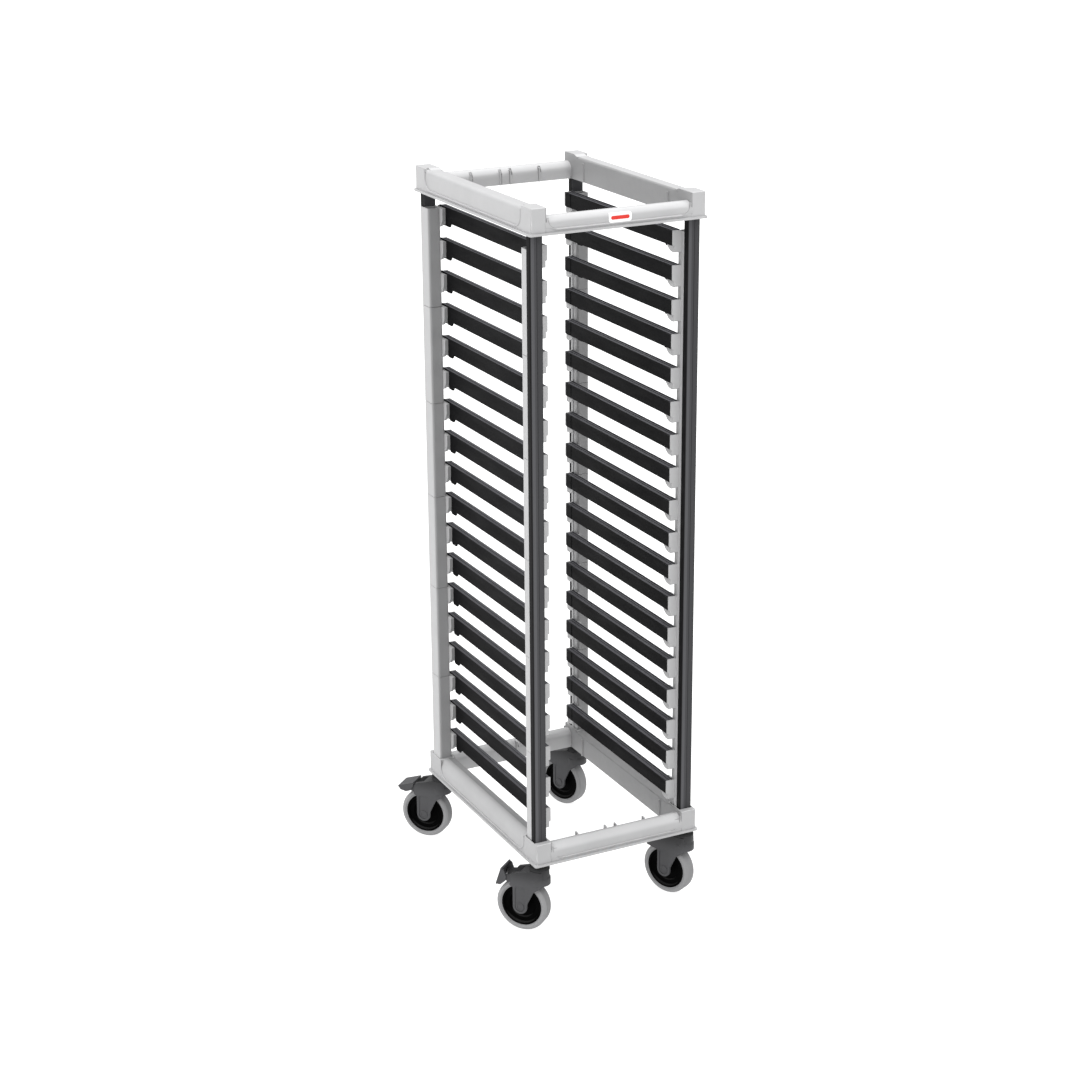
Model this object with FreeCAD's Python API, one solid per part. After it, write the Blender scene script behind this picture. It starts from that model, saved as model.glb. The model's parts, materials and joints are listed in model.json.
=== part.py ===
"""Tall open tray rack on four swivel castors.

Two moulded frames are joined by four hollow posts.  Six rail holders clip on to
each post, three rails high each, and carry eighteen pairs of tray rails.  Under
each post a castor with a 125 mm wheel swivels on a stem, and the two left-hand
castors have a rocking brake pedal.

Millimetres.  X runs across the rack, Y from front to back, Z up from the floor.
The origin is on the floor, under the middle of the whole rack's box.
"""
import FreeCAD, Part
import os
from FreeCAD import Vector
from math import atan2, cos, degrees, hypot, radians, sin

# ---- driving dimensions ----------------------------------------------------
FRAME_WIDTH = 424.0          # flange to flange, across
FRAME_DEPTH = 596.0          # flange to flange, front to back
FLANGE = 5.0                 # thickness of the flange round each frame
FLANGE_LIP = 4.0             # how far the flange stands out past the body
WALL = 3.0                   # moulded wall thickness

BOTTOM_FRAME_Z = 174.0       # underside of the bottom frame
BOTTOM_BLOCK = 54.0          # height of its corner blocks
TOP_FRAME_Z = 1619.0         # underside of the top frame
TOP_BLOCK = 58.0             # height of its corner blocks

POST_WIDTH = 30.0            # post section, across
POST_DEPTH = 19.0            # post section, front to back
POST_X = 188.8               # middle of each post from the middle of the rack
POST_Y = 271.0
POST_WALL = 2.0
POST_ROUNDING = 5.0          # corners of a post's outward face
POST_BOTTOM_Z = 186.0
POST_TOP_Z = 1661.0

PITCH = 76.2                 # three inches from rail to rail
RAILS_PER_HOLDER = 3
HOLDERS_PER_POST = 6
HOLDER_TOP_Z = 1587.0        # top of the uppermost holder
HOLDER_DEPTH = 27.0          # front to back, behind the post
HOLDER_LIP = 1.6             # cheeks of a holder that lap over the sides of its post
HOLDER_ROUNDING = 6.0        # corners of a holder's face towards the trays
POST_STRIP = 6.0             # strip of a back post that its holders leave bare
HOLDER_REACH = 20.0          # how far a bracket stands out under its rail
BRACKET_HEIGHT = 45.5

RAIL_HALF_GAP = 152.0        # inner face of a rail from the middle of the rack
RAIL_WIDTH = 17.0
RAIL_HEIGHT = 33.5
RAIL_SKIN = 3.0
RAIL_HALF_LENGTH = 250.7
RAIL_RISE = 2.5              # a rail's top above the top of its bracket
RAIL_STEP = 0.8              # how far a rail's thicker ends stand into the tray bay
END_GAP = 0.3                # between a rail's end and its bracket's end wall
END_WALL_X = 172.0           # outer edge of that wall from the middle of the rack

WHEEL_RADIUS = 62.5
TYRE_WIDTH = 33.0
CORE_RADIUS = 48.6
TRAIL = 39.5                 # wheel centre behind the swivel axis
FORK_HALF_WIDTH = 24.0
CHEEK = 5.0
FORK_TOP_Z = 165.0
AXLE_RADIUS = 4.0
STEM_RADIUS = 6.0
RUNNING_GAP = 0.05           # radial clearance of a shaft in its bore
PEDAL_SWING = 54.0           # degrees between brake on and brake off

# corner name: side across, side front to back, heading in degrees, has a brake
CORNERS = {
    "front_left": (-1, -1, 50.8, True),
    "front_right": (1, -1, 63.9, False),
    "back_left": (-1, 1, 48.6, True),
    "back_right": (1, 1, 64.8, False),
}
PEDAL_RAISED = {"front_left": False, "back_left": True}

# ---- worked out from the above ---------------------------------------------
BODY_X = FRAME_WIDTH / 2 - FLANGE_LIP
BODY_Y = FRAME_DEPTH / 2 - FLANGE_LIP
RING_WIDTH = 37.0            # from the body's outer face to the ring's opening
INNER_X = BODY_X - RING_WIDTH
INNER_Y = BODY_Y - RING_WIDTH
BOTTOM_INNER_X = BODY_X - 41.0   # the bottom ring's long sides are wider
POST_IN_X = POST_X - POST_WIDTH / 2
POST_OUT_X = POST_X + POST_WIDTH / 2
POST_IN_Y = POST_Y - POST_DEPTH / 2
POST_OUT_Y = POST_Y + POST_DEPTH / 2
HOLDER_HEIGHT = RAILS_PER_HOLDER * PITCH
HOLDER_BOTTOM_Z = HOLDER_TOP_Z - HOLDERS_PER_POST * HOLDER_HEIGHT
HOLDER_IN_Y = POST_IN_Y - HOLDER_DEPTH
RAIL_COUNT = RAILS_PER_HOLDER * HOLDERS_PER_POST
RAIL_OUT_X = RAIL_HALF_GAP + RAIL_WIDTH
X_AXIS = Vector(1, 0, 0)
Y_AXIS = Vector(0, 1, 0)
Z_AXIS = Vector(0, 0, 1)
ORIGIN = Vector(0, 0, 0)


# ---- small helpers -----------------------------------------------------------
def box(low, high):
    """A box between two opposite corners, each given as (x, y, z)."""
    size = [b - a for a, b in zip(low, high)]
    return Part.makeBox(size[0], size[1], size[2], Vector(*low))


def soften(shape, edge_test, radius):
    """Round every edge of the shape that passes the test."""
    edges = [edge for edge in shape.Edges if edge_test(edge)]
    return shape.makeFillet(radius, edges)


def is_upright(edge):
    box_of_edge = edge.BoundBox
    return box_of_edge.XLength < 0.01 and box_of_edge.YLength < 0.01


def rounded_box(low, high, radius):
    """A box whose upright edges are rounded."""
    return soften(box(low, high), is_upright, radius)


def cylinder(radius, start, axis, length):
    return Part.makeCylinder(radius, length, Vector(*start), axis)


def closed_face(pieces):
    return Part.Face(Part.Wire(pieces))


def rounded_path(points, radii):
    """Edges through the points, in order, each corner rounded by its radius."""
    edges = []
    last = points[0]
    for i in range(1, len(points) - 1):
        before = (points[i - 1] - points[i]).normalize()
        after = (points[i + 1] - points[i]).normalize()
        if radii[i] == 0:
            edges.append(Part.LineSegment(last, points[i]).toShape())
            last = points[i]
            continue
        half = before.getAngle(after) / 2
        reach = radii[i] * cos(half) / sin(half)
        start = points[i] + before * reach
        end = points[i] + after * reach
        bisector = (before + after).normalize()
        middle = points[i] + bisector * (radii[i] / sin(half) - radii[i])
        if (start - last).Length > 1e-6:
            edges.append(Part.LineSegment(last, start).toShape())
        edges.append(Part.Arc(start, middle, end).toShape())
        last = end
    edges.append(Part.LineSegment(last, points[-1]).toShape())
    return edges


def rounded_outline(points, radii):
    """A closed face whose corners are rounded; the first corner stays sharp."""
    ring = list(points) + [points[0]]
    return closed_face(rounded_path(ring, list(radii) + [0]))


def four_corners(shape):
    """The shape and its mirror images in the two upright middle planes."""
    pair = [shape, shape.mirror(ORIGIN, X_AXIS)]
    return pair + [each.mirror(ORIGIN, Y_AXIS) for each in pair]


def at_corner(shape, side_x, side_y):
    """Move a shape made for the back right corner to another corner."""
    if side_x < 0:
        shape = shape.mirror(ORIGIN, X_AXIS)
    if side_y < 0:
        shape = shape.mirror(ORIGIN, Y_AXIS)
    return shape


# ---- the two moulded frames ----------------------------------------------------
TOP_BEAD_RADIUS = 2.4
BOTTOM_BEAD_RADIUS = 1.7
BEAD_RISE = 10.5             # height of the bead's straight run above the underside
PANEL_CORNER = 27.0          # radius of a panel's lower corners
PANEL_INSET = 1.5            # a panel's surface inside the body's outer face
TOP_ROUNDING = 9.0           # a top frame panel's upper edge


def panel_outline(half_length, base_z, top_z, at_x, corner):
    """Upright outline, in the plane x = at_x, of a panel's rolled surface."""
    low = base_z + BEAD_RISE
    points = [
        Vector(at_x, -half_length, top_z),
        Vector(at_x, -half_length, low),
        Vector(at_x, half_length, low),
        Vector(at_x, half_length, top_z),
    ]
    return rounded_path(points, [0, corner, corner, 0])


def square_section(outer, inner, base_z, crest_z):
    """Section of a top frame's long side: an upright panel with a rounded upper edge."""
    face = outer - PANEL_INSET
    points = [
        Vector(inner, 0, base_z),
        Vector(face, 0, base_z),
        Vector(face, 0, crest_z),
        Vector(inner, 0, crest_z),
    ]
    return rounded_outline(points, [0, 0, TOP_ROUNDING, 5])


def rolled_section(outer, inner, base_z, crest_z):
    """Section of a bottom frame's long side: rolled over to a crest, then falling inwards."""
    face = outer - PANEL_INSET
    points = [
        Vector(inner, 0, base_z),
        Vector(face, 0, base_z),
        Vector(face, 0, crest_z - 16),
        Vector(face - 9.5, 0, crest_z),
        Vector(face - 20.5, 0, crest_z),
        Vector(inner, 0, crest_z - 4),
    ]
    return rounded_outline(points, [0, 0, 38, 14, 20, 3])


def bar_section(outer, inner, base_z, crest_z):
    """Section of a short side: a rounded bar that falls away to a low inner face."""
    face = outer - PANEL_INSET
    waist = base_z + BEAD_RISE
    crest = Vector((outer + inner) / 2, 0, crest_z)
    start = Vector(face, 0, waist)
    inner_top = Vector(inner, 0, crest_z - 20)
    shoulder_out = Part.Arc(start, Vector(face + 0.5, 0, (waist + crest_z) / 2 + 4), crest)
    shoulder_in = Part.Arc(crest, Vector(inner + 3.5, 0, crest_z - 9), inner_top)
    foot_out = Vector(face, 0, base_z)
    foot_in = Vector(inner, 0, base_z)
    sides = [
        Part.LineSegment(inner_top, foot_in).toShape(),
        Part.LineSegment(foot_in, foot_out).toShape(),
        Part.LineSegment(foot_out, start).toShape(),
    ]
    return closed_face([shoulder_out.toShape(), shoulder_in.toShape()] + sides)


def ring_side(section, outer, half_length, base_z, crest_z, rim_drop, bead_radius):
    """One side of a ring, along Y, with its panel and bead, on the +X side."""
    panel_half = half_length - 5
    rim = crest_z - 3
    corner = min(PANEL_CORNER, rim - base_z - BEAD_RISE - 1)
    section.translate(Vector(0, -half_length, 0))
    roll = section.extrude(Vector(0, 2 * half_length, 0))
    frame_edges = panel_outline(panel_half, base_z, crest_z + 20, outer - 16, corner)
    top_edge = Part.LineSegment(
        Vector(outer - 16, panel_half, crest_z + 20),
        Vector(outer - 16, -panel_half, crest_z + 20),
    )
    window = closed_face(frame_edges + [top_edge.toShape()]).extrude(Vector(40, 0, 0))
    slab_top = crest_z - rim_drop
    slab = box((outer - 16, -half_length, base_z), (outer - 0.4, half_length, slab_top))
    slab = slab.cut(window)
    bead_edges = panel_outline(panel_half, base_z, rim, outer - 0.9, corner)
    path = Part.Wire(bead_edges)
    start = Vector(outer - 0.9, -panel_half, rim)
    profile = Part.Wire([Part.Circle(start, Z_AXIS, bead_radius).toShape()])
    bead = path.makePipeShell([profile], True, False)
    return roll.fuse([slab, bead])


def turned(shape):
    """Turn a shape made on the +X side to the +Y side."""
    return shape.rotated(ORIGIN, Z_AXIS, 90)


def corner_block(inner_x, inner_y, base_z, top_z):
    """A solid corner block for the back right corner, its upper edges rounded."""
    block = rounded_box((inner_x, inner_y, base_z), (BODY_X, BODY_Y, top_z), 4.0)

    def is_top_edge(edge):
        return edge.BoundBox.ZMin > top_z - 0.01
    return soften(block, is_top_edge, 2.0)


def hollows(inner_x, base_z, long_roof, short_roof, long_half, short_half):
    """Pockets under a ring's sides, open downwards, with ribs left between them."""
    pockets = []
    rib = 2.5
    long_count = 6
    short_count = 4
    for count, half, roof, outer, inner, is_long in (
        (long_count, long_half, long_roof, BODY_X, inner_x, True),
        (short_count, short_half, short_roof, BODY_Y, INNER_Y, False),
    ):
        step = 2 * half / count
        for i in range(count):
            start = -half + i * step + rib / 2
            low = (inner + WALL, start, base_z - 1)
            high = (outer - WALL - 5, start + step - rib, roof)
            pocket = box(low, high)
            if not is_long:
                pocket = turned(pocket)
            pockets.append(pocket)
            pockets.append(pocket.rotated(ORIGIN, Z_AXIS, 180))
    return pockets


def make_ring(inner_x, base_z, block_top, block_depth, long_section, long_crest, bar_crest):
    """A moulded ring: flange, corner blocks, long sides of a given section, short bars."""
    half_x = FRAME_WIDTH / 2
    half_y = FRAME_DEPTH / 2
    flange = rounded_box((-half_x, -half_y, base_z), (half_x, half_y, base_z + FLANGE), 5.0)
    opening = rounded_box(
        (-inner_x, -INNER_Y, base_z - 1), (inner_x, INNER_Y, base_z + FLANGE + 1), 3.0)
    ring = flange.cut(opening)
    block_in_y = BODY_Y - block_depth
    blocks = four_corners(corner_block(inner_x, block_in_y, base_z, block_top))
    long_half = block_in_y + 4
    short_half = inner_x + 4
    rolled = long_section is rolled_section
    long_drop = 16 if rolled else 10
    bead = BOTTOM_BEAD_RADIUS if rolled else TOP_BEAD_RADIUS
    section = long_section(BODY_X, inner_x, base_z, long_crest)
    long_side = ring_side(section, BODY_X, long_half, base_z, long_crest, long_drop, bead)
    section = bar_section(BODY_Y, INNER_Y, base_z, bar_crest)
    short_side = turned(ring_side(section, BODY_Y, short_half, base_z, bar_crest, 12, bead))
    sides = [long_side, short_side]
    sides = sides + [side.rotated(ORIGIN, Z_AXIS, 180) for side in sides]
    ring = ring.fuse(blocks + sides)
    pockets = hollows(inner_x, base_z, long_crest - 12, bar_crest - 20,
                      block_in_y - 6, inner_x - 6)
    return ring.cut(pockets)


RIB_PLACES = (-87.0, -13.0, 13.0, 87.0)


def edge_ribs(inner_x, base_z, crest_z):
    """Ribs on the inner faces: four on each short side, two on each long side."""
    ribs = []
    for x in RIB_PLACES:
        low = (x - 1.5, INNER_Y - 3, base_z)
        high = (x + 1.5, INNER_Y + 8, crest_z + 2.5)
        rib = box(low, high)
        ribs.append(rib)
        ribs.append(rib.mirror(ORIGIN, Y_AXIS))
    rib_y = 196.0
    upright = box((inner_x - 3, rib_y - 2, base_z), (inner_x + 1, rib_y + 2, base_z + 44))
    return ribs + four_corners(upright)


def rib_slots(bar_z):
    """A slot beside each rib of the short sides, cut into the bar's inner shoulder."""
    slots = []
    for x in RIB_PLACES:
        slot = box((x + 1.5, INNER_Y - 1, bar_z - 17), (x + 5.0, INNER_Y + 8, bar_z + 5))
        slots.append(slot)
        slots.append(slot.mirror(ORIGIN, Y_AXIS))
    return slots


def top_shoulder(crest_z, block_top, block_in_y):
    """Where a long side's top edge sweeps up to its block, at the back right."""
    slope_start = block_in_y - 13
    slope_end = block_in_y - 3
    points = [
        Vector(INNER_X, slope_start - 6, crest_z - 3),
        Vector(INNER_X, slope_start - 6, crest_z),
        Vector(INNER_X, slope_start, crest_z),
        Vector(INNER_X, slope_end, block_top),
        Vector(INNER_X, block_in_y + 6, block_top),
        Vector(INNER_X, block_in_y + 6, crest_z - 3),
    ]
    sweep = rounded_outline(points, [0, 0, 20, 14, 0, 0])
    return sweep.extrude(Vector(RING_WIDTH - PANEL_INSET - TOP_ROUNDING, 0, 0))


def make_top_frame():
    top = TOP_FRAME_Z + TOP_BLOCK
    crest = top - 4
    bar = TOP_FRAME_Z + 39
    block_depth = 50
    ring = make_ring(INNER_X, TOP_FRAME_Z, top, block_depth, square_section, crest, bar)
    shoulders = four_corners(top_shoulder(crest, top, BODY_Y - block_depth))
    ring = ring.fuse(edge_ribs(INNER_X, TOP_FRAME_Z, bar - 9) + shoulders)
    socket_low = (POST_IN_X, POST_IN_Y, TOP_FRAME_Z - 1)
    socket_high = (POST_OUT_X, POST_OUT_Y, POST_TOP_Z)
    ring = ring.cut(four_corners(box(socket_low, socket_high)) + rib_slots(bar))
    return ring.removeSplitter()


def make_bottom_frame():
    top = BOTTOM_FRAME_Z + BOTTOM_BLOCK
    bar = top - 7
    ring = make_ring(BOTTOM_INNER_X, BOTTOM_FRAME_Z, top, 64, rolled_section, top, bar)
    ring = ring.fuse(edge_ribs(BOTTOM_INNER_X, BOTTOM_FRAME_Z, bar - 3))
    post_socket = box((POST_IN_X, POST_IN_Y, POST_BOTTOM_Z), (POST_OUT_X, POST_OUT_Y, top + 1))
    holder_socket = box(
        (POST_IN_X - HOLDER_LIP, HOLDER_IN_Y, HOLDER_BOTTOM_Z),
        (POST_OUT_X + HOLDER_LIP, POST_OUT_Y, top + 1))
    stem_hole = cylinder(STEM_RADIUS, (POST_X, POST_Y, BOTTOM_FRAME_Z - 1), Z_AXIS, 20)
    cuts = four_corners(post_socket.fuse([holder_socket, stem_hole]))
    return ring.cut(cuts + rib_slots(bar)).removeSplitter()


# ---- posts and rail holders ------------------------------------------------------
def make_post():
    """A hollow post, its outward face rounded and grooved, at the back right corner."""
    block = box((POST_IN_X, POST_IN_Y, POST_BOTTOM_Z), (POST_OUT_X, POST_OUT_Y, POST_TOP_Z))
    outer = soften(block, is_outward_upright, POST_ROUNDING)
    inner = box(
        (POST_IN_X + POST_WALL, POST_IN_Y + POST_WALL, POST_BOTTOM_Z - 1),
        (POST_OUT_X - POST_WALL, POST_OUT_Y - POST_WALL, POST_TOP_Z + 1))
    groove_width = 1.6
    groove_depth = 0.8
    groove = box(
        (POST_X - groove_width / 2, POST_OUT_Y - groove_depth, POST_BOTTOM_Z - 1),
        (POST_X + groove_width / 2, POST_OUT_Y + 1, POST_TOP_Z + 1))
    return outer.cut([inner, groove])


def is_outward_upright(edge):
    return is_upright(edge) and edge.BoundBox.YMin > POST_OUT_Y - 0.01


def is_bay_upright(edge):
    return is_upright(edge) and edge.BoundBox.YMax < HOLDER_IN_Y + 0.01


def bracket_face(top_z):
    """Side outline of one bracket, in the plane x = 0."""
    low = top_z - BRACKET_HEIGHT
    deep = HOLDER_IN_Y - HOLDER_REACH + 4
    near = HOLDER_IN_Y + HOLDER_REACH
    points = [
        Vector(0, near, top_z),
        Vector(0, deep, top_z),
        Vector(0, deep, low),
        Vector(0, near, low),
    ]
    return rounded_outline(points, [0, 0, 26, 3])


def end_wall(shelf_z):
    """The wall of a bracket that stands in front of its rail's end."""
    start_y = RAIL_HALF_LENGTH + END_GAP
    in_x = RAIL_HALF_GAP - RAIL_STEP
    crest_z = shelf_z + RAIL_RISE
    low_z = crest_z - RAIL_HEIGHT
    points = [
        Vector(in_x, start_y, crest_z),
        Vector(in_x, start_y, low_z),
        Vector(END_WALL_X, start_y, low_z),
        Vector(END_WALL_X, start_y, crest_z),
    ]
    outline = rounded_outline(points, [1.5, 3, 0, 1])
    return outline.extrude(Y_AXIS * (HOLDER_IN_Y + HOLDER_REACH - start_y))


def make_holder(top_z, wraps):
    """A three-rail holder with its top at top_z, at the back right corner."""
    low_z = top_z - HOLDER_HEIGHT
    out_x = POST_OUT_X + (HOLDER_LIP if wraps else 0)
    outside = box((POST_IN_X, HOLDER_IN_Y, low_z), (out_x, POST_IN_Y, top_z))
    outside = soften(outside, is_bay_upright, HOLDER_ROUNDING)
    inside = box(
        (POST_IN_X + WALL, HOLDER_IN_Y + WALL, low_z - 1),
        (out_x - WALL, POST_IN_Y - WALL, top_z + 1))
    inside = soften(inside, is_upright, HOLDER_ROUNDING - WALL)
    cheek_length = 2.0
    inner_cheek = box(
        (POST_IN_X - HOLDER_LIP, HOLDER_IN_Y + HOLDER_REACH, low_z),
        (POST_IN_X, POST_IN_Y + cheek_length, top_z))
    pieces = [inner_cheek]
    walls = []
    if wraps:
        pieces.append(box((POST_OUT_X, POST_IN_Y - 1, low_z), (out_x, POST_OUT_Y - POST_STRIP, top_z)))
    for i in range(RAILS_PER_HOLDER):
        face = bracket_face(top_z - i * PITCH)
        face.translate(Vector(RAIL_HALF_GAP + RAIL_SKIN, 0, 0))
        bracket = face.extrude(Vector(POST_IN_X - RAIL_HALF_GAP - RAIL_SKIN + WALL, 0, 0))
        shelf_z = top_z - i * PITCH
        pocket = box(
            (RAIL_HALF_GAP + RAIL_SKIN + WALL, HOLDER_IN_Y - 10, shelf_z - BRACKET_HEIGHT - 1),
            (POST_IN_X - WALL, HOLDER_IN_Y + HOLDER_REACH - WALL, shelf_z - WALL))
        notch = box(
            (RAIL_OUT_X - RAIL_SKIN, HOLDER_IN_Y - 30, shelf_z - RAIL_HEIGHT - 12),
            (RAIL_OUT_X, HOLDER_IN_Y - 15, shelf_z + 1))
        pieces.append(bracket.cut([pocket, notch]))
        walls.append(end_wall(shelf_z))
    holder = outside.cut(inside).fuse(pieces)
    clearance = 0.15
    seam = 1.0
    trim = box((100, 200, top_z - clearance), (250, 320, top_z + 1))
    column_trim = box((POST_IN_X, 200, top_z - seam), (250, 320, top_z + 1))
    return holder.cut([trim, column_trim]).fuse(walls).removeSplitter()


# ---- tray rails ----------------------------------------------------------------
FOOT_DROP = 9.0              # the feet under a rail's outer web
FOOT_START = 197.0


def make_rail(top_z):
    """A rail on the right: ledge, inner web with thicker ends, outer web with feet."""
    half = RAIL_HALF_LENGTH
    low = top_z - RAIL_HEIGHT
    ledge = box(
        (RAIL_HALF_GAP, -half, top_z - RAIL_RISE), (RAIL_OUT_X, half, top_z))
    web_corners = [
        Vector(RAIL_HALF_GAP, -half, top_z),
        Vector(RAIL_HALF_GAP, -half, low),
        Vector(RAIL_HALF_GAP, half, low),
        Vector(RAIL_HALF_GAP, half, top_z),
    ]
    inner_web = rounded_outline(web_corners, [0, 3, 3, 0]).extrude(Vector(RAIL_SKIN, 0, 0))
    step_length = 25.0
    web_end = HOLDER_IN_Y - 15
    outer_low = low - FOOT_DROP
    outer_points = [
        Vector(RAIL_OUT_X - RAIL_SKIN, -web_end, top_z),
        Vector(RAIL_OUT_X - RAIL_SKIN, -web_end, outer_low),
        Vector(RAIL_OUT_X - RAIL_SKIN, -FOOT_START, outer_low),
        Vector(RAIL_OUT_X - RAIL_SKIN, -FOOT_START + 6, low),
        Vector(RAIL_OUT_X - RAIL_SKIN, FOOT_START - 6, low),
        Vector(RAIL_OUT_X - RAIL_SKIN, FOOT_START, outer_low),
        Vector(RAIL_OUT_X - RAIL_SKIN, web_end, outer_low),
        Vector(RAIL_OUT_X - RAIL_SKIN, web_end, top_z),
    ]
    outer_web = rounded_outline(outer_points, [0, 4, 4, 4, 4, 4, 4, 0])
    outer_web = outer_web.extrude(Vector(RAIL_SKIN, 0, 0))
    end_pieces = []
    for side in (-1, 1):
        ends = sorted((side * half, side * (half - step_length)))
        end_pieces.append(box(
            (RAIL_HALF_GAP - RAIL_STEP, ends[0], low + 2), (RAIL_HALF_GAP, ends[1], top_z - 2)))
    rib_height = 1.5
    rib = box((RAIL_OUT_X - 2.5, -half, top_z), (RAIL_OUT_X, half, top_z + rib_height))
    stiffeners = [
        box((RAIL_HALF_GAP, y - 1.2, low + 6), (RAIL_OUT_X, y + 1.2, top_z))
        for y in (-150, -75, 0, 75, 150)
    ]
    pieces = [inner_web, outer_web, rib] + end_pieces + stiffeners
    groove_x = RAIL_HALF_GAP + 7.0
    groove = box((groove_x, -half - 1, top_z - 1.0), (groove_x + 2.2, half + 1, top_z + 1))
    return ledge.fuse(pieces).cut(groove).removeSplitter()


# ---- castors, made with the swivel axis on Z and the wheel trailing along +X --------
HUB_Z = WHEEL_RADIUS
CAVITY_RADIUS = WHEEL_RADIUS + 3.5
PIVOT = Vector(84.0, 0, 128.0)   # pedal pivot
PEDAL_OFFSET = 8.0               # pivot to the middle of the pedal's plate
PEDAL_THICK = 4.0
PEDAL_HALF = 22.0
PEDAL_DOWN = -72.5               # slope of the plate with the brake on, in degrees
PIVOT_END = 5.4                  # radius of the fork's ears round the pivot
EAR_HALF_WIDTH = 19.8
SKIRT_RADIUS = 25.5              # round front of the fork, at its lower lip
NECK_RADIUS = 22.5
PIN_RADIUS = 2.0
BOSS_RADIUS = 9.5                # boss that closes each end of the axle's bore
AXLE_REACH = FORK_HALF_WIDTH - 3
PIN_REACH = FORK_HALF_WIDTH - 1.2


def side_point(along, height):
    return Vector(along, -FORK_HALF_WIDTH, height)


def fork_outline(braked):
    """Side outline of the fork: head, cheeks and the leg down to the axle."""
    leg = 17.5
    rear_top = 143.0 if braked else 139.0
    rear_x = 61.5 if braked else 84.0
    points = [
        side_point(-14, FORK_TOP_Z - 8),
        side_point(14, FORK_TOP_Z - 8),
        side_point(rear_x, rear_top),
        side_point(rear_x + 4, 114.0 if braked else 116.0),
        side_point(TRAIL + leg, 110),
        side_point(TRAIL + leg, HUB_Z - leg),
        side_point(TRAIL - leg, HUB_Z - leg),
        side_point(TRAIL - leg, HUB_Z + 8),
        side_point(6, 104),
        side_point(-18, 122),
    ]
    radii = [0, 4, 3, 3, 4, leg - 0.1, leg - 0.1, 20, 4, 3]
    return rounded_outline(points, radii)


def pedal_frame(slope):
    """Foot of the perpendicular on the plate, and the plate's two directions."""
    along = Vector(cos(radians(slope)), 0, sin(radians(slope)))
    normal = Vector(-along.z, 0, along.x)
    return PIVOT + normal * PEDAL_OFFSET, along, normal


def make_fork(braked):
    width = 2 * FORK_HALF_WIDTH
    body = fork_outline(braked).extrude(Vector(0, width, 0))
    head_low = 122.0
    round_front = cylinder(SKIRT_RADIUS, (0, 0, 0), Z_AXIS, FORK_TOP_Z)
    straight_rear = box((0, -FORK_HALF_WIDTH, 0), (130, FORK_HALF_WIDTH, FORK_TOP_Z))
    body = body.common(round_front.fuse(straight_rear))
    head = Part.makeCone(SKIRT_RADIUS, NECK_RADIUS, 5, Vector(0, 0, head_low + 15), Z_AXIS)
    skirt = cylinder(SKIRT_RADIUS, (0, 0, head_low), Z_AXIS, 15)
    neck = cylinder(NECK_RADIUS, (0, 0, head_low + 20), Z_AXIS, FORK_TOP_Z - head_low - 22)
    rim = cylinder(NECK_RADIUS - 1.5, (0, 0, FORK_TOP_Z - 2), Z_AXIS, 2)
    brim = cylinder(NECK_RADIUS + 1.2, (0, 0, FORK_TOP_Z - 6.5), Z_AXIS, 2.4)
    body = body.fuse([head, skirt, neck, rim, brim])
    if braked:
        well = box((40, -EAR_HALF_WIDTH + CHEEK, 100), (120, EAR_HALF_WIDTH - CHEEK, 200))
        body = body.cut(well)
        ears = []
        for side in (-1, 1):
            spread = sorted((side * EAR_HALF_WIDTH, side * (EAR_HALF_WIDTH - CHEEK)))
            arm = [
                Vector(56, spread[0], 140.0),
                Vector(PIVOT.x, spread[0], PIVOT.z + PIVOT_END),
                Vector(PIVOT.x, spread[0], PIVOT.z - PIVOT_END),
                Vector(56, spread[0], 116.0),
            ]
            plate = rounded_outline(arm, [0, 0, 0, 0]).extrude(Vector(0, spread[1] - spread[0], 0))
            knuckle = cylinder(
                PIVOT_END, (PIVOT.x, spread[0], PIVOT.z), Y_AXIS, spread[1] - spread[0])
            ears.append(plate.fuse(knuckle))
        body = body.fuse(ears)
        pin_hole = cylinder(PIN_RADIUS, (PIVOT.x, -40, PIVOT.z), Y_AXIS, 80)
        body = body.cut(pin_hole)
    inner = FORK_HALF_WIDTH - CHEEK
    cavity = cylinder(CAVITY_RADIUS, (TRAIL, -inner, HUB_Z), Y_AXIS, 2 * inner)
    below = box((TRAIL - CAVITY_RADIUS, -inner, 0), (TRAIL + CAVITY_RADIUS, inner, HUB_Z))
    body = body.cut([cavity, below])
    for side in (-1, 1):
        recess_y = sorted((side * (FORK_HALF_WIDTH - 1.5), side * (FORK_HALF_WIDTH + 5)))
        recess_points = [
            Vector(TRAIL - 12, recess_y[0], 112),
            Vector(TRAIL + 12, recess_y[0], 112),
            Vector(TRAIL + 12, recess_y[0], HUB_Z - 12.5),
            Vector(TRAIL - 12, recess_y[0], HUB_Z - 12.5),
        ]
        recess = rounded_outline(recess_points, [0, 6, 11.9, 11.9])
        body = body.cut(recess.extrude(Vector(0, recess_y[1] - recess_y[0], 0)))
        outwards = Vector(0, side, 0)
        boss = cylinder(BOSS_RADIUS, (TRAIL, side * AXLE_REACH, HUB_Z), outwards, 2.8)
        dimple = cylinder(BOSS_RADIUS - 2.5, (TRAIL, side * (AXLE_REACH + 2), HUB_Z), outwards, 9)
        body = body.fuse(boss).cut(dimple)
    axle_hole = cylinder(AXLE_RADIUS, (TRAIL, -AXLE_REACH, HUB_Z), Y_AXIS, 2 * AXLE_REACH)
    stem_hole = cylinder(STEM_RADIUS + RUNNING_GAP, (0, 0, 100), Z_AXIS, 100)
    rivet_room = cylinder(11.0, (0, 0, 100), Z_AXIS, 36)
    return body.cut([axle_hole, stem_hole, rivet_room]).removeSplitter()


def make_stem():
    """Threaded stem that turns in the fork's head and screws into the post's plug."""
    low = 129.0
    shank = cylinder(STEM_RADIUS, (0, 0, low), Z_AXIS, 91)
    collar = cylinder(10.0, (0, 0, low), Z_AXIS, 6.5)
    return shank.fuse(collar).removeSplitter()


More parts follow.
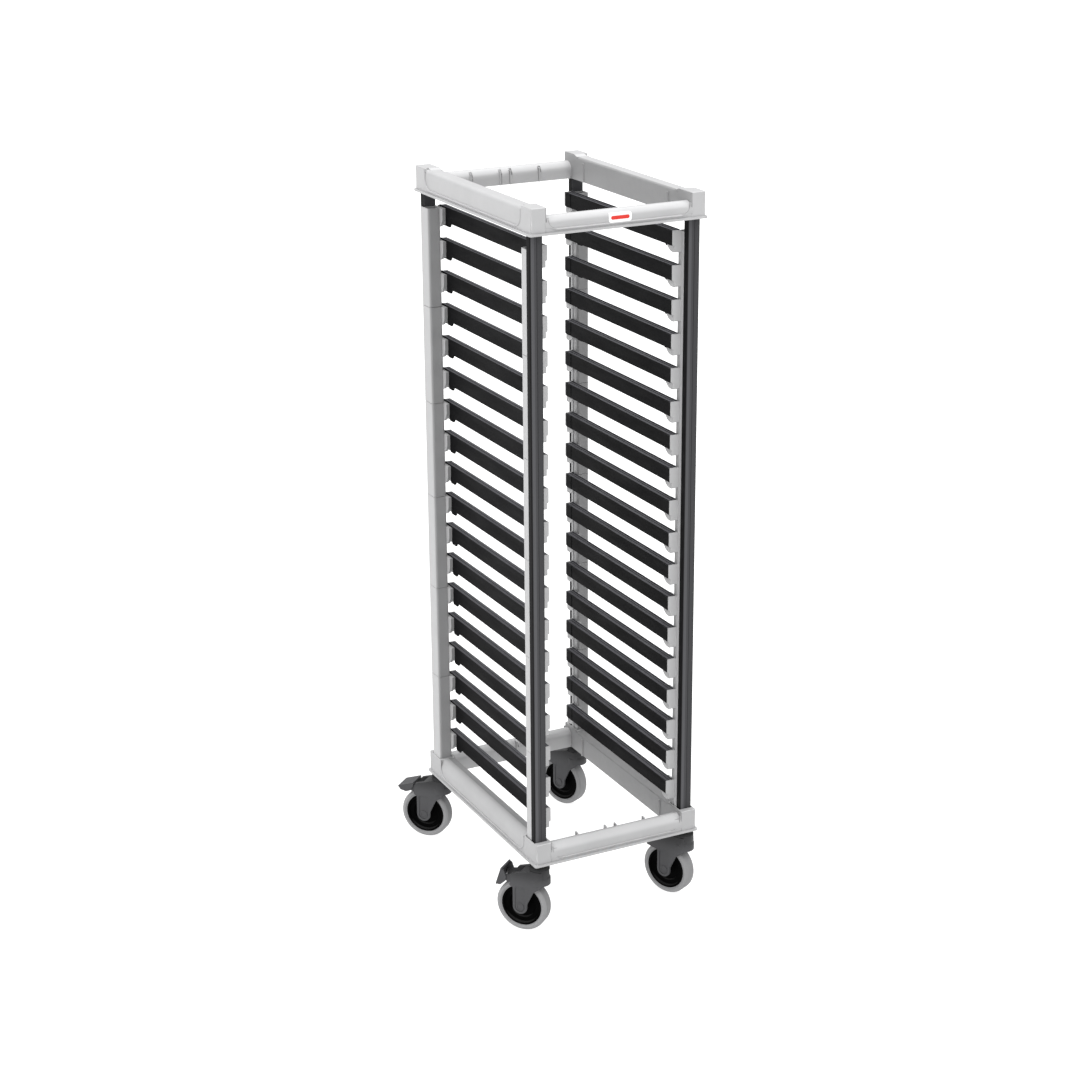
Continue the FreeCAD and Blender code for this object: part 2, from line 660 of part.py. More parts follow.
def make_swivel_ring():
    """Bearing ring between the fork's head and the bottom frame."""
    low = FORK_TOP_Z + 0.4
    ring = cylinder(22.0, (0, 0, low), Z_AXIS, BOTTOM_FRAME_Z - low)
    return ring.cut(cylinder(STEM_RADIUS, (0, 0, low - 1), Z_AXIS, 10))


def make_axle():
    """Axle held in the fork's legs, closed in by a boss at each end."""
    return cylinder(AXLE_RADIUS, (TRAIL, -AXLE_REACH, HUB_Z), Y_AXIS, 2 * AXLE_REACH)


def spun(points, radii):
    """A ring made by turning an outline, drawn as (radius, across), about the axle."""
    outline = [Vector(TRAIL + r, y, HUB_Z) for r, y in points]
    face = rounded_outline(outline, radii)
    return face.revolve(Vector(TRAIL, 0, HUB_Z), Y_AXIS, 360)


def make_wheel_core():
    half = TYRE_WIDTH / 2 - 1.5
    web = 4.0
    hub = FORK_HALF_WIDTH - CHEEK - 0.6
    bore = AXLE_RADIUS + RUNNING_GAP
    points = [
        (bore, hub), (12, hub), (14, web + 2), (38, web), (43, half), (CORE_RADIUS, half),
        (CORE_RADIUS, -half), (43, -half), (38, -web), (14, -web - 2), (12, -hub), (bore, -hub),
    ]
    return spun(points, [0, 1, 3, 4, 1.5, 0, 0, 1.5, 4, 3, 1, 0])


def make_tyre():
    half = TYRE_WIDTH / 2
    points = [
        (CORE_RADIUS, half - 3.5), (WHEEL_RADIUS - 8, half), (WHEEL_RADIUS, half - 3.5),
        (WHEEL_RADIUS, 3.5 - half), (WHEEL_RADIUS - 8, -half), (CORE_RADIUS, 3.5 - half),
    ]
    return spun(points, [0, 6, 4, 4, 6, 0])


def make_pedal(raised):
    """Rocking pedal: a plate across the fork, with a flange down each side."""
    foot, along, normal = pedal_frame(PEDAL_DOWN)
    half_thick = PEDAL_THICK / 2
    corners = [
        foot - along * PEDAL_HALF + normal * half_thick,
        foot + along * PEDAL_HALF + normal * half_thick,
        foot + along * PEDAL_HALF - normal * half_thick,
        foot - along * PEDAL_HALF - normal * half_thick,
    ]
    width = FORK_HALF_WIDTH
    for corner in corners:
        corner.y = -width
    plate = rounded_outline(corners, [0, 1.5, 1.5, 0]).extrude(Vector(0, 2 * width, 0))
    flange_inner = EAR_HALF_WIDTH + 0.6
    flanges = []
    for side in (-1, 1):
        low, high = sorted((side * flange_inner, side * width))
        outline = [(-20, 0), (21, 0), (19, -9), (6, -17), (-6, -17), (-20, -6)]
        points = [foot + along * a + normal * n for a, n in outline]
        points = [Vector(p.x, low, p.z) for p in points]
        flange = rounded_outline(points, [0, 1, 4, 7, 8, 3])
        flanges.append(flange.extrude(Vector(0, high - low, 0)))
    pedal = plate.fuse(flanges)
    bore_half = PIN_REACH + RUNNING_GAP
    hole = cylinder(PIN_RADIUS + RUNNING_GAP, (PIVOT.x, -bore_half, PIVOT.z), Y_AXIS, 2 * bore_half)
    pedal = pedal.cut(hole).removeSplitter()
    if raised:
        pedal = pedal.rotated(PIVOT, Y_AXIS, -PEDAL_SWING)
    return pedal


def make_pedal_pin():
    """Pivot pin of the pedal, closed in by the pedal's flanges."""
    return cylinder(PIN_RADIUS, (PIVOT.x, -PIN_REACH, PIVOT.z), Y_AXIS, 2 * PIN_REACH)


def placed(shape, corner):
    """Turn a castor piece to its heading and move it under its post."""
    side_x, side_y, heading, _ = CORNERS[corner]
    turned_shape = shape.rotated(ORIGIN, Z_AXIS, 180 - heading)
    turned_shape.translate(Vector(side_x * POST_X, side_y * POST_Y, 0))
    return turned_shape


# ---- small pieces --------------------------------------------------------------
def make_bottom_plug():
    """Solid plug in a post's lower end that the castor's stem screws into."""
    low = (POST_IN_X + POST_WALL, POST_IN_Y + POST_WALL, POST_BOTTOM_Z)
    high = (POST_OUT_X - POST_WALL, POST_OUT_Y - POST_WALL, POST_BOTTOM_Z + 40)
    thread = cylinder(STEM_RADIUS, (POST_X, POST_Y, POST_BOTTOM_Z - 1), Z_AXIS, 36)
    return box(low, high).cut(thread)


def make_top_plug():
    """Plug in a post's upper end, held by the cross pin."""
    low = (POST_IN_X + POST_WALL, POST_IN_Y + POST_WALL, TOP_FRAME_Z)
    high = (POST_OUT_X - POST_WALL, POST_OUT_Y - POST_WALL, POST_TOP_Z)
    return box(low, high)


PIN_SCREW_RADIUS = 2.5


def make_lock_screw():
    """Countersunk screw from the ring's opening into a post and its plug."""
    z = TOP_FRAME_Z + 22
    reach = 20.0
    start = INNER_X + 0.2
    shank = cylinder(PIN_SCREW_RADIUS, (start, POST_Y, z), X_AXIS, reach)
    head = Part.makeCone(5.0, PIN_SCREW_RADIUS, 2.6, Vector(start, POST_Y, z), X_AXIS)
    slot = box((start - 0.1, POST_Y - 3, z - 0.6), (start + 1.0, POST_Y + 3, z + 0.6))
    return shank.fuse(head).cut(slot).removeSplitter()


def make_label_plate():
    """Blank name plate on the front bar of the top frame."""
    width = 54.0
    height = 20.0
    mid_z = TOP_FRAME_Z + 22
    points = [
        Vector(-width / 2, 0, mid_z + height / 2),
        Vector(-width / 2, 0, mid_z - height / 2),
        Vector(width / 2, 0, mid_z - height / 2),
        Vector(width / 2, 0, mid_z + height / 2),
    ]
    plate = rounded_outline(points, [0, 5, 5, 5])
    return plate.extrude(Vector(0, 40, 0))


# ---- assembly --------------------------------------------------------------------
def build_parts():
    parts = {}
    screws = four_corners(make_lock_screw())
    top_frame = make_top_frame().cut(screws)
    plate_block = make_label_plate()
    plate_block.translate(Vector(0, -BODY_Y - 1.4, 0))
    in_front = sorted(plate_block.cut(top_frame).Solids, key=lambda solid: solid.BoundBox.YMin)
    parts["name_plate"] = in_front[0]
    parts["top_frame"] = top_frame
    parts["bottom_frame"] = make_bottom_frame()
    post = make_post()
    top_plug = make_top_plug()
    for name, (side_x, side_y, _, _) in CORNERS.items():
        parts["post_" + name] = at_corner(post, side_x, side_y).cut(screws)
        holders = [
            at_corner(make_holder(HOLDER_TOP_Z - i * HOLDER_HEIGHT, side_y > 0), side_x, side_y)
            for i in range(HOLDERS_PER_POST)
        ]
        parts["rail_holders_" + name] = Part.makeCompound(holders)
    parts["post_top_plugs"] = Part.makeCompound([each.cut(screws) for each in four_corners(top_plug)])
    parts["post_bottom_plugs"] = Part.makeCompound(four_corners(make_bottom_plug()))
    parts["frame_screws"] = Part.makeCompound(screws)
    for i in range(RAIL_COUNT):
        rail = make_rail(HOLDER_TOP_Z + RAIL_RISE - i * PITCH)
        pair = [rail, rail.mirror(ORIGIN, X_AXIS)]
        parts["rail_pair_%02d" % (i + 1)] = Part.makeCompound(pair)
    for name, (_, _, _, braked) in CORNERS.items():
        parts["castor_stem_" + name] = placed(make_stem(), name)
        parts["swivel_ring_" + name] = placed(make_swivel_ring(), name)
        parts["fork_" + name] = placed(make_fork(braked), name)
        parts["axle_" + name] = placed(make_axle(), name)
        parts["wheel_core_" + name] = placed(make_wheel_core(), name)
        parts["tyre_" + name] = placed(make_tyre(), name)
        if braked:
            parts["brake_pedal_" + name] = placed(make_pedal(PEDAL_RAISED[name]), name)
            parts["pedal_pin_" + name] = placed(make_pedal_pin(), name)
    return parts


def main():
    os.makedirs("parts", exist_ok=True)
    parts = build_parts()
    whole = FreeCAD.BoundBox()
    for shape in parts.values():
        whole.add(shape.optimalBoundingBox(False))
    shift = Vector(-whole.Center.x, -whole.Center.y, -whole.ZMin)
    print("origin shift", round(shift.x, 4), round(shift.y, 4), round(shift.z, 4))
    for name, shape in parts.items():
        moved = shape.translated(shift)
        print(name, len(moved.Solids), moved.isValid(), round(moved.Volume / 1000, 1))
        moved.exportStep("parts/" + name + ".step")


main()
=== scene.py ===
"""Looks of a tall open tray rack on four swivel castors.

Metres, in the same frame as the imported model: X across the rack, Y from front to
back, Z up from the floor.  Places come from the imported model's own boxes.
"""
import json
from math import cos, pi, radians, sin, tan

import bmesh
import bpy
from mathutils import Matrix, Vector


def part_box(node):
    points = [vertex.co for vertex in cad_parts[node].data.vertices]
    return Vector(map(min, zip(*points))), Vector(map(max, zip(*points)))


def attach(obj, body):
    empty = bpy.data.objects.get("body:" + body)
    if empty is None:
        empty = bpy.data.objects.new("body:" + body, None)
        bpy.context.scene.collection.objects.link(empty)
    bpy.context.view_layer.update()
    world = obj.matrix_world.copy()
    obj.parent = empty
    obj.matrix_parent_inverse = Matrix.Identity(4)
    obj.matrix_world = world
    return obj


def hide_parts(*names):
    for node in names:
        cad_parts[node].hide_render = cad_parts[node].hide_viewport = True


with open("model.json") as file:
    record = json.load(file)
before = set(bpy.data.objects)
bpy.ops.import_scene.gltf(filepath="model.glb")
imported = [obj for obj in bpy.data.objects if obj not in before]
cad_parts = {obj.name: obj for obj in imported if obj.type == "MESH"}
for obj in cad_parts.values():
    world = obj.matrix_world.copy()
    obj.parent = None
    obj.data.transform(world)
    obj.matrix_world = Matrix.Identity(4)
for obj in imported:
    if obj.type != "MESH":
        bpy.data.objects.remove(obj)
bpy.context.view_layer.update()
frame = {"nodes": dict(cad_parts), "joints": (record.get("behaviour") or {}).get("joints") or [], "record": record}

MM = 0.001
CORNERS = ("front_left", "front_right", "back_left", "back_right")
top_low, top_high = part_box("top_frame")
RACK_X = (top_low.x + top_high.x) / 2
RACK_Y = (top_low.y + top_high.y) / 2


# ---- materials ---------------------------------------------------------------
def new_material(name):
    """An empty node material with its Principled shader, as (material, nodes, links, shader)."""
    material = bpy.data.materials.new(name)
    material.use_nodes = True
    nodes = material.node_tree.nodes
    return material, nodes, material.node_tree.links, nodes["Principled BSDF"]


def noise(nodes, links, scale, detail=4.0, stretch=(1, 1, 1)):
    """A noise texture in the object's own space, finer as scale grows."""
    place = nodes.new("ShaderNodeTexCoord")
    mapping = nodes.new("ShaderNodeMapping")
    mapping.inputs["Scale"].default_value = stretch
    texture = nodes.new("ShaderNodeTexNoise")
    texture.inputs["Scale"].default_value = scale
    texture.inputs["Detail"].default_value = detail
    links.new(place.outputs["Object"], mapping.inputs["Vector"])
    links.new(mapping.outputs["Vector"], texture.inputs["Vector"])
    return texture.outputs["Fac"]


def remap(nodes, links, value, from_low, from_high, low, high, smooth=False):
    """Map a value from one range to another, held within the second."""
    mapped = nodes.new("ShaderNodeMapRange")
    mapped.interpolation_type = "SMOOTHSTEP" if smooth else "LINEAR"
    mapped.inputs["From Min"].default_value = from_low
    mapped.inputs["From Max"].default_value = from_high
    mapped.inputs["To Min"].default_value = low
    mapped.inputs["To Max"].default_value = high
    links.new(value, mapped.inputs["Value"])
    return mapped.outputs["Result"]


def maths(nodes, links, operation, first, second):
    """One arithmetic step; second may be a number."""
    step = nodes.new("ShaderNodeMath")
    step.operation = operation
    links.new(first, step.inputs[0])
    if isinstance(second, (int, float)):
        step.inputs[1].default_value = second
    else:
        links.new(second, step.inputs[1])
    return step.outputs["Value"]


def painted_shading_by_facing(nodes, links, direction, start, full, tone):
    """Painted light and shade: a factor on the colour that comes in as the surface turns from start to full
    towards a direction.
    """
    place = nodes.new("ShaderNodeTexCoord")
    dot = nodes.new("ShaderNodeVectorMath")
    dot.operation = "DOT_PRODUCT"
    dot.inputs[1].default_value = direction
    links.new(place.outputs["Normal"], dot.inputs[0])
    return remap(nodes, links, dot.outputs["Value"], start, full, 1.0, tone, smooth=True)


def painted_shade_inward(nodes, links, weights, start, full, tone):
    """Painted shade: a factor on the colour of surfaces that face the middle of the rack, across and front to back
    by weights.
    """
    place = nodes.new("ShaderNodeTexCoord")
    centred = nodes.new("ShaderNodeVectorMath")
    centred.operation = "SUBTRACT"
    centred.inputs[1].default_value = (RACK_X, RACK_Y, 0)
    links.new(place.outputs["Object"], centred.inputs[0])
    side = nodes.new("ShaderNodeVectorMath")
    side.operation = "SIGN"
    links.new(centred.outputs["Vector"], side.inputs[0])
    weighted = nodes.new("ShaderNodeVectorMath")
    weighted.operation = "MULTIPLY"
    weighted.inputs[1].default_value = (-weights[0], -weights[1], 0)
    links.new(side.outputs["Vector"], weighted.inputs[0])
    dot = nodes.new("ShaderNodeVectorMath")
    dot.operation = "DOT_PRODUCT"
    links.new(place.outputs["Normal"], dot.inputs[0])
    links.new(weighted.outputs["Vector"], dot.inputs[1])
    return remap(nodes, links, dot.outputs["Value"], start, full, 1.0, tone, smooth=True)


def painted_shading_by_height(nodes, links, start, full, tone):
    """Painted light and shade: a factor on the colour that comes in as the height above the floor goes from start
    to full.
    """
    place = nodes.new("ShaderNodeTexCoord")
    split = nodes.new("ShaderNodeSeparateXYZ")
    links.new(place.outputs["Object"], split.inputs["Vector"])
    return remap(nodes, links, split.outputs["Z"], start, full, 1.0, tone, smooth=True)


def moulded(name, colour, spread, rough, shine=0.3, grain=900.0, depth=0.15, stretch=(1, 1, 1),
            cloud=14.0, painted_shading=()):
    """Moulded plastic: cloudy colour with painted light and shade by direction or height, and a fine grain."""
    material, nodes, links, shader = new_material(name)
    clouds = noise(nodes, links, cloud, 5.0, stretch)
    value = remap(nodes, links, clouds, 0.3, 0.7, 1 - spread, 1 + spread)
    # Painted light and shade: each factor multiplies the cloudy colour.
    for kind, *settings in painted_shading:
        value = maths(nodes, links, "MULTIPLY", value, kind(nodes, links, *settings))
    tint = nodes.new("ShaderNodeVectorMath")
    tint.operation = "SCALE"
    tint.inputs[0].default_value = colour
    links.new(value, tint.inputs["Scale"])
    links.new(tint.outputs["Vector"], shader.inputs["Base Color"])
    patches = noise(nodes, links, 60.0, 3.0, stretch)
    roughness = remap(nodes, links, patches, 0.3, 0.7, rough - 0.06, rough + 0.06)
    links.new(roughness, shader.inputs["Roughness"])
    shader.inputs["Specular IOR Level"].default_value = shine
    bump = nodes.new("ShaderNodeBump")
    bump.inputs["Strength"].default_value = depth
    bump.inputs["Distance"].default_value = 0.0003
    links.new(noise(nodes, links, grain, 2.0, stretch), bump.inputs["Height"])
    links.new(bump.outputs["Normal"], shader.inputs["Normal"])
    return material


def plated_steel(name):
    """Zinc plated steel with fine turned marks."""
    material, nodes, links, shader = new_material(name)
    shader.inputs["Metallic"].default_value = 1.0
    marks = noise(nodes, links, 300.0, 4.0)
    shade = nodes.new("ShaderNodeVectorMath")
    shade.operation = "SCALE"
    shade.inputs[0].default_value = (0.5, 0.5, 0.505)
    links.new(remap(nodes, links, marks, 0.3, 0.7, 0.84, 1.16), shade.inputs["Scale"])
    links.new(shade.outputs["Vector"], shader.inputs["Base Color"])
    links.new(remap(nodes, links, marks, 0.3, 0.7, 0.28, 0.45), shader.inputs["Roughness"])
    return material


UP = (0, 0, 1)
LEFT = (-1, 0, 0)
RIGHT = (1, 0, 0)
# Direction of the frames' upper front faces, which get a painted highlight.
FRONT_UP = (0, -0.64, 0.77)
MATERIALS = {
    # Frame: painted shade on faces turned to the middle across the rack, a painted highlight on the upper front
    # faces, and painted light higher up the rack.
    "frame_grey": moulded(
        "frame_plastic", (0.368, 0.368, 0.372), 0.03, 0.45, shine=0.25, grain=450.0, depth=0.35,
        painted_shading=[(painted_shade_inward, (1, 0), 0.02, 0.16, 0.66), (painted_shading_by_facing, FRONT_UP, 0.8, 0.98, 1.26),
               (painted_shading_by_height, 0.5, 1.4, 1.11)]),
    # Holders: painted shade on faces turned to the middle from front to back.
    "holder_grey": moulded(
        "holder_plastic", (0.42, 0.42, 0.424), 0.02, 0.5, shine=0.2,
        painted_shading=[(painted_shade_inward, (0, 1), 0.1, 0.95, 0.62)]),
    # Posts: painted light on the part of the outward face that leans left, painted shade on both sides, darkest on
    # the left side.
    "post_black": moulded(
        "post_extrusion", (0.052, 0.052, 0.055), 0.08, 0.5, shine=0.03,
        stretch=(1, 1, 0.02), cloud=60.0,
        painted_shading=[(painted_shading_by_facing, LEFT, 0.0, 0.12, 1.7), (painted_shading_by_facing, LEFT, 0.35, 0.85, 0.10),
               (painted_shading_by_facing, RIGHT, 0.1, 0.8, 0.6)]),
    # Rails: painted light on faces that turn up, such as the ledges.
    "rail_charcoal": moulded(
        "rail_plastic", (0.0055, 0.0055, 0.006), 0.15, 0.55, shine=0.03, depth=0.25,
        stretch=(1, 0.15, 1), cloud=90.0, painted_shading=[(painted_shading_by_facing, UP, 0.5, 0.9, 15.0)]),
    # Forks: painted shade towards the top, under the frame.
    "fork_grey": moulded(
        "fork_plastic", (0.066, 0.066, 0.069), 0.05, 0.5, shine=0.15,
        painted_shading=[(painted_shading_by_height, 0.115, 0.158, 0.45)]),
    "pedal_grey": moulded("pedal_plastic", (0.060, 0.060, 0.063), 0.05, 0.5, shine=0.15),
    # Wheel cores: a painted highlight on faces that turn up.
    "core_black": moulded(
        "core_plastic", (0.0008, 0.0008, 0.0008), 0.1, 0.6, shine=0.02, depth=0.05,
        painted_shading=[(painted_shading_by_facing, UP, 0.35, 0.8, 24.0)]),
    # Tyres: painted light on faces turned left, painted shade on faces turned right.
    "tyre_grey": moulded(
        "tyre_rubber", (0.225, 0.225, 0.229), 0.04, 0.65, shine=0.2, depth=0.2,
        painted_shading=[(painted_shading_by_facing, LEFT, 0.3, 0.9, 1.12), (painted_shading_by_facing, RIGHT, 0.2, 0.9, 0.75)]),
    "plug_black": moulded("plug_plastic", (0.02, 0.02, 0.02), 0.1, 0.5),
    "ring_black": moulded("seal_rubber", (0.008, 0.008, 0.008), 0.1, 0.5, shine=0.1),
    "plate_white": moulded("plate_print", (0.85, 0.85, 0.85), 0.01, 0.35, depth=0.03),
    "steel": plated_steel("zinc_steel"),
}
PLATE_RED = moulded("plate_red", (0.62, 0.03, 0.02), 0.02, 0.4, shine=0.3, depth=0.02)
SLOT_OF = {part["node"]: part["material_slot"] for part in frame["record"]["subparts"]}
BODY_OF = {
    node: body
    for body, members in frame["record"]["behaviour"]["bodies"].items()
    for node in members
}


# ---- pieces --------------------------------------------------------------------
def finish_piece(piece, nodes):
    """Dress a piece for the CAD nodes it stands for: material, body and slot."""
    node = nodes[0]
    piece.data.materials.clear()
    piece.data.materials.append(MATERIALS[SLOT_OF[node]])
    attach(piece, BODY_OF[node])
    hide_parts(*nodes)
    return piece


def smooth_shaded(piece, angle=32):
    """Smooth shading that keeps creases, with normals weighted by face area."""
    piece.data.shade_smooth()
    piece.data.set_sharp_from_angle(angle=radians(angle))
    weighted = piece.modifiers.new("weighted_normals", "WEIGHTED_NORMAL")
    weighted.keep_sharp = True
    weighted.weight = 80


def round_edges(piece, width, segments=2, angle=32):
    """Small rounded edges on a piece."""
    bevel = piece.modifiers.new("rounded_edges", "BEVEL")
    bevel.width = width
    bevel.segments = segments
    bevel.limit_method = "ANGLE"
    bevel.angle_limit = radians(angle)
    bevel.use_clamp_overlap = True


def new_piece(name, build):
    """A mesh object made from a bmesh, linked into the scene."""
    mesh = bpy.data.meshes.new(name)
    build.to_mesh(mesh)
    build.free()
    piece = bpy.data.objects.new(name, mesh)
    bpy.context.scene.collection.objects.link(piece)
    return piece


def refined(node, width, slices=()):
    """A welded copy of a CAD node with merged flat faces and rounded edges.

    Slices are (axis, place) planes that split long curved faces beside small
    details, so that the shading of those details stays local.
    """
    build = bmesh.new()
    build.from_mesh(frame["nodes"][node].data)
    bmesh.ops.remove_doubles(build, verts=build.verts, dist=0.00001)
    bmesh.ops.dissolve_limit(
        build, angle_limit=radians(0.05), verts=build.verts, edges=build.edges)
    for axis, place in slices:
        normal = Vector((axis == 0, axis == 1, axis == 2))
        everything = build.verts[:] + build.edges[:] + build.faces[:]
        bmesh.ops.bisect_plane(
            build, geom=everything, dist=0.000001, plane_co=normal * place, plane_no=normal)
    piece = new_piece(node + "_finish", build)
    if width:
        round_edges(piece, width)
    smooth_shaded(piece)
    return finish_piece(piece, [node])


def lathed(name, centre, axis, profile, segments=128):
    """A closed ring turned about an axis, from (radius, across) points in order."""
    build = bmesh.new()
    turn = axis.to_track_quat("Z", "Y").to_matrix()
    loops = []
    for i in range(segments):
        angle = 2 * pi * i / segments
        outwards = turn @ Vector((cos(angle), sin(angle), 0))
        loops.append([build.verts.new(centre + outwards * r + axis * y) for r, y in profile])
    count = len(profile)
    for i, loop in enumerate(loops):
        after = loops[(i + 1) % segments]
        for k in range(count):
            m = (k + 1) % count
            build.faces.new((loop[k], loop[m], after[m], after[k]))
    bmesh.ops.recalc_face_normals(build, faces=build.faces)
    piece = new_piece(name, build)
    smooth_shaded(piece, 40)
    return piece


def rounded_profile(points, radii, steps=5):
    """A closed profile with each corner rounded by its radius."""
    made = []
    count = len(points)
    for i in range(count):
        corner = Vector(points[i])
        if radii[i] == 0:
            made.append(tuple(corner))
            continue
        before = (Vector(points[i - 1]) - corner).normalized()
        after = (Vector(points[(i + 1) % count]) - corner).normalized()
        half = before.angle(after) / 2
        reach = radii[i] / tan(half)
        middle = corner + (before + after).normalized() * (radii[i] / sin(half))
        first = corner + before * reach - middle
        last = corner + after * reach - middle
        for k in range(steps + 1):
            t = k / steps
            made.append(tuple(middle + (first * (1 - t) + last * t).normalized() * radii[i]))
    return made


# ---- wheels ----------------------------------------------------------------------
ROLL = {
    joint["name"].removeprefix("roll_"): joint
    for joint in frame["joints"]
    if joint["name"].startswith("roll_")
}
WHEEL_R = 62.5 * MM
HALF_TYRE = 16.5 * MM
RIM_R = 48.6 * MM


def make_wheel(corner):
    """A rubber tyre with a bead line, and a black core with a dished face and a hub."""
    joint = ROLL[corner]
    low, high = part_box("tyre_" + corner)
    centre = (low + high) / 2
    axis = Vector(joint["axis"]).normalized()
    outer = [
        (RIM_R, HALF_TYRE - 3.5 * MM), (RIM_R + 1.2 * MM, HALF_TYRE - 2.0 * MM),
        (RIM_R + 2.4 * MM, HALF_TYRE - 2.6 * MM), (WHEEL_R - 8 * MM, HALF_TYRE),
        (WHEEL_R - 2.6 * MM, HALF_TYRE - 2.2 * MM), (WHEEL_R, HALF_TYRE - 5.0 * MM),
        (WHEEL_R, 0.9 * MM), (WHEEL_R - 0.35 * MM, 0.3 * MM),
    ]
    radii = [0, 0.5 * MM, 0.5 * MM, 4 * MM, 2.0 * MM, 1.6 * MM, 0.2 * MM, 0]
    profile = outer + [(r, -y) for r, y in reversed(outer)]
    tyre = lathed("tyre_tread_" + corner, centre, axis,
                  rounded_profile(profile, radii + radii[::-1]))
    finish_piece(tyre, ["tyre_" + corner])
    half = HALF_TYRE - 1.5 * MM
    hub = 18.4 * MM
    bore = 4.05 * MM
    side = [
        (bore, hub), (12 * MM, hub), (14 * MM, 7 * MM), (18 * MM, 6 * MM), (30 * MM, 5.5 * MM),
        (32.5 * MM, 9 * MM), (42.5 * MM, 10 * MM), (44 * MM, half), (RIM_R, half),
    ]
    radii = [0, 1 * MM, 2.5 * MM, 3 * MM, 1.5 * MM, 1.5 * MM, 4 * MM, 0.8 * MM, 0]
    profile = side + [(r, -y) for r, y in reversed(side)]
    core = lathed("wheel_core_face_" + corner, centre, axis,
                  rounded_profile(profile, radii + radii[::-1]))
    finish_piece(core, ["wheel_core_" + corner])


for corner in CORNERS:
    make_wheel(corner)


# ---- posts -----------------------------------------------------------------------
def make_post(corner):
    """A post with a crowned, grooved outward face; the crown is 1 mm high."""
    low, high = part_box("post_" + corner)
    middle = (low + high) / 2
    half_x = (high.x - low.x) / 2
    half_y = (high.y - low.y) / 2
    outwards = 1 if middle.y > RACK_Y else -1
    crown, groove, chamfer = 1.0 * MM, 0.8 * MM, 0.6 * MM
    end_scale = 0.97
    points = [
        (-half_x, -half_y), (half_x, -half_y), (half_x, half_y - crown),
        (half_x * 0.4, half_y - 0.15 * MM), (groove, half_y), (groove, half_y - groove),
        (-groove, half_y - groove), (-groove, half_y), (-half_x * 0.4, half_y - 0.15 * MM),
        (-half_x, half_y - crown),
    ]
    radii = [1.5 * MM, 1.5 * MM, 4.5 * MM, 9 * MM, 0.3 * MM, 0, 0, 0.3 * MM, 9 * MM, 4.5 * MM]
    outline = rounded_profile(points, radii, 6)
    build = bmesh.new()
    levels = [low.z, low.z + chamfer, high.z - chamfer, high.z]
    scales = [end_scale, 1, 1, end_scale]
    rows = [
        [build.verts.new((middle.x + x * k, middle.y + outwards * y * k, z)) for x, y in outline]
        for z, k in zip(levels, scales)
    ]
    build.faces.new(rows[0])
    build.faces.new(rows[-1])
    count = len(outline)
    for below, above in zip(rows, rows[1:]):
        for k in range(count):
            m = (k + 1) % count
            build.faces.new((below[k], below[m], above[m], above[k]))
    bmesh.ops.recalc_face_normals(build, faces=build.faces)
    post = new_piece("post_extrusion_" + corner, build)
    smooth_shaded(post, 40)
    finish_piece(post, ["post_" + corner])


for corner in CORNERS:
    make_post(corner)


# ---- the rest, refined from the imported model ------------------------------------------
# Width of the rounded edges by material; the other pieces keep the model's own edges.
EDGE_WIDTH = {"holder_grey": 0.5 * MM, "rail_charcoal": 0.5 * MM, "fork_grey": 0.5 * MM,
              "pedal_grey": 0.6 * MM}
# Just beside the ribs and slots of the frames' short and long sides, in millimetres
# from the middle of the rack.
BAR_SLICES = (-150, -130, -89.5, -81, -50, -15.5, -7, 10.5, 19, 50, 84.5, 93, 130, 150)
SIDE_SLICES = (-235, -199, -193, -100, 0, 100, 193, 199, 235)
FRAME_SLICES = [(0, RACK_X + x * MM) for x in BAR_SLICES]
FRAME_SLICES += [(1, RACK_Y + y * MM) for y in SIDE_SLICES]
MADE_AFRESH = ("tyre_", "wheel_core_", "post_front_", "post_back_")
for node, slot in SLOT_OF.items():
    if not node.startswith(MADE_AFRESH):
        slices = FRAME_SLICES if node in ("top_frame", "bottom_frame") else ()
        refined(node, EDGE_WIDTH.get(slot, 0.0), slices)


def make_plate_band():
    """A plain red band across the blank name plate."""
    low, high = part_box("name_plate")
    middle = (low + high) / 2
    width, height, radius = 44 * MM, 8.0 * MM, 3.9 * MM
    outline = rounded_profile(
        [(-width / 2, -height / 2), (width / 2, -height / 2),
         (width / 2, height / 2), (-width / 2, height / 2)], [radius] * 4)
    build = bmesh.new()
    rows = [
        [build.verts.new((middle.x + x, low.y - out, middle.z + z)) for x, z in outline]
        for out in (-0.3 * MM, 0.25 * MM)
    ]
    build.faces.new(rows[1])
    build.faces.new(list(reversed(rows[0])))
    count = len(outline)
    for k in range(count):
        m = (k + 1) % count
        build.faces.new((rows[0][k], rows[0][m], rows[1][m], rows[1][k]))
    bmesh.ops.recalc_face_normals(build, faces=build.faces)
    band = new_piece("plate_band", build)
    round_edges(band, 0.12 * MM)
    smooth_shaded(band)
    band.data.materials.append(PLATE_RED)
    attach(band, BODY_OF["name_plate"])


make_plate_band()


# ---- room, light and camera --------------------------------------------------------
FLOOR_SIZE = 300
FLOOR_GLOW = 0.85
SKY_LOW, SKY_HIGH = 0.5, 2.5       # strength near the horizon and overhead
SKY_FROM, SKY_TO = 0.15, 0.9       # upward part of the direction where these two apply
SKY_LEFT, SKY_RIGHT = 1.2, 0.8     # factor at the two sides
LENS = 76.91
CAMERA_OFFSET = (-2.2878, -4.4902)  # from the middle of the rack, on the floor
CAMERA_HEIGHT = 2.5949
VIEW_DIRECTION = (0.42172, 0.84466, -0.32969)
CAMERA_ROLL = -0.43                # degrees


